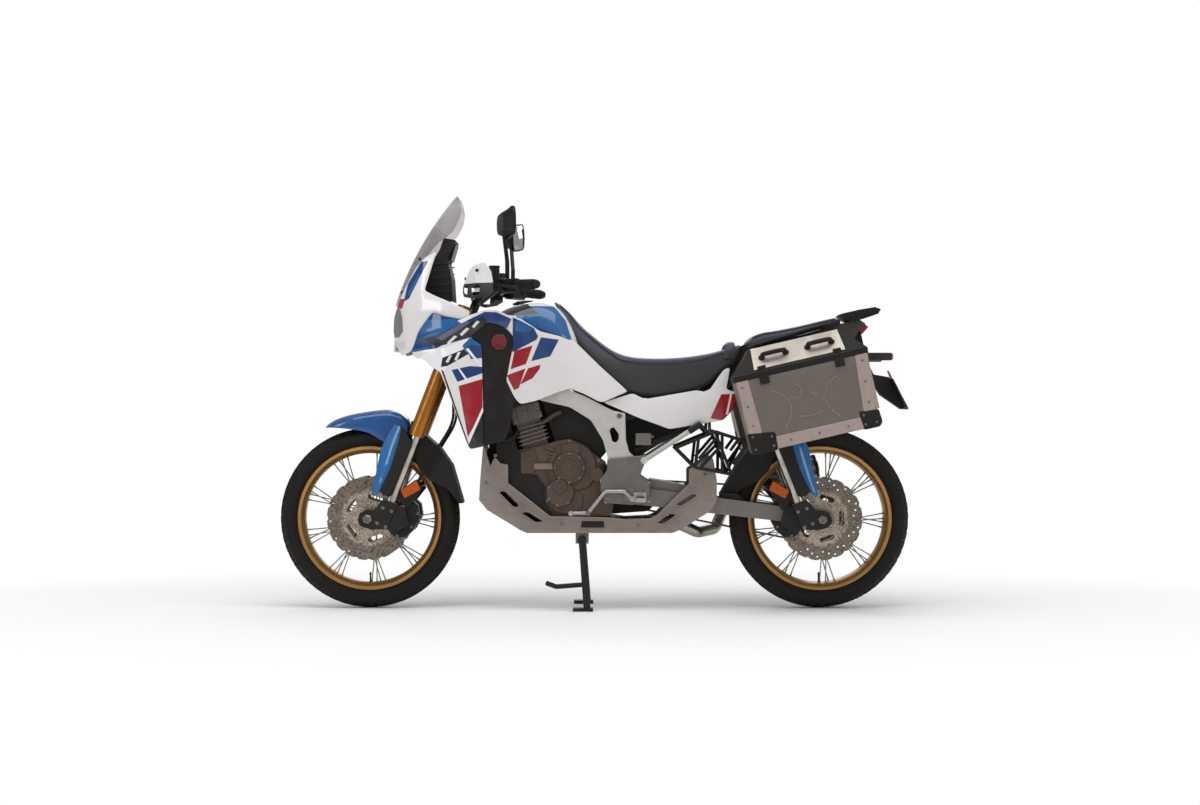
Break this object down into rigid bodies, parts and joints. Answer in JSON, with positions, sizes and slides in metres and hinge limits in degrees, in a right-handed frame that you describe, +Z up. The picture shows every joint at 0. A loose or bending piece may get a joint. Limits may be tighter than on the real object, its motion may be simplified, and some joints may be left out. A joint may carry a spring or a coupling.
{
  "type": "adventure motorcycle",
  "caption": "Tall adventure motorcycle with spoked wheels, half fairing, screen, skid plate, centre stand and hard side cases with opening lids.",
  "frame": {"origin": "on the floor, on the centre plane, midway between the two axles", "axes": "+X to the rear of the motorcycle, +Y to the rider's right, +Z up"},
  "size_m": [2.3517, 0.959, 1.533],
  "materials": {
    "alloy": "satin",
    "black_metal": "satin",
    "black_plastic": "matte",
    "blue_paint": "gloss",
    "case_metal": "satin",
    "dark_metal": "satin",
    "engine": "satin",
    "gold": "satin",
    "lens": "clear",
    "red_lens": "gloss",
    "seat": "matte",
    "silver_paint": "satin",
    "smoke": "smoked",
    "steel": "brushed",
    "tyre": "matte",
    "white_paint": "gloss"
  },
  "bodies": {
    "chassis": {"airbox": "black_plastic", "chain": "steel", "crankcase": "engine", "cylinders": "engine", "dash": "black_plastic", "engine_covers": "engine", "engine_shields": "black_plastic", "exhaust": "steel", "foot_controls": "steel", "headlamp": "lens", "knee_panels": "white_paint", "lower_fairings": "white_paint", "main_frame": "silver_paint", "nose_cowl": "white_paint", "pillion_seat": "seat", "plate_holder": "black_plastic", "radiator": "dark_metal", "radiator_shrouds": "black_plastic", "rear_caliper": "dark_metal", "rear_hugger": "black_plastic", "rear_lamps": "red_lens", "rear_leg_guards": "blue_paint", "rear_rack": "black_plastic", "rider_seat": "seat", "side_cases": "case_metal", "side_covers": "blue_paint", "skid_plate": "alloy", "strut_lowers": "alloy", "strut_tubes": "gold", "subframe": "black_metal", "swingarm": "black_metal", "tail_cowl": "black_plastic", "tank": "blue_paint", "upper_fairings": "blue_paint", "windscreen": "smoke"},
    "steering": {"fork_lowers": "alloy", "fork_tubes": "gold", "fork_clamps": "alloy", "handlebar": "alloy", "controls": "black_plastic", "mirrors": "black_plastic", "hand_guards": "black_plastic", "front_fender": "blue_paint", "fork_guards": "black_plastic", "front_calipers": "dark_metal", "brake_hoses": "black_plastic"},
    "front_wheel": {"front_tyre": "tyre", "front_rim": "gold", "front_hub": "alloy", "front_discs": "steel"},
    "rear_wheel": {"rear_tyre": "tyre", "rear_rim": "gold", "rear_hub": "alloy", "rear_disc": "steel", "rear_sprocket": "steel"},
    "centre_stand": {"centre_stand": "black_metal"},
    "left_case_lid": {"left_case_lid": "case_metal"},
    "right_case_lid": {"right_case_lid": "case_metal"}
  },
  "joints": [
    {"name": "steering_turn", "type": "hinge", "parent": "chassis", "child": "steering", "pos_m": [-0.493, 0, 1.011], "axis": [0.3584, 0, 0.9336], "range_deg": [-36, 36]},
    {"name": "front_wheel_spin", "type": "hinge", "parent": "steering", "child": "front_wheel", "pos_m": [-0.83994, 0, 0.336], "axis": [0, 1, 0], "continuous": true},
    {"name": "rear_wheel_spin", "type": "hinge", "parent": "chassis", "child": "rear_wheel", "pos_m": [0.84, 0, 0.336], "axis": [0, 1, 0], "continuous": true},
    {"name": "stand_fold", "type": "hinge", "parent": "chassis", "child": "centre_stand", "pos_m": [-0.046, 0, 0.257], "axis": [0, -1, 0], "range_deg": [0, 85]},
    {"name": "left_lid_open", "type": "hinge", "parent": "chassis", "child": "left_case_lid", "pos_m": [0.73093, -0.43, 0.91173], "axis": [0.9744, 0, 0.225], "range_deg": [0, 95]},
    {"name": "right_lid_open", "type": "hinge", "parent": "chassis", "child": "right_case_lid", "pos_m": [0.73093, 0.43, 0.91173], "axis": [-0.9744, 0, -0.225], "range_deg": [0, 95]}
  ]
}
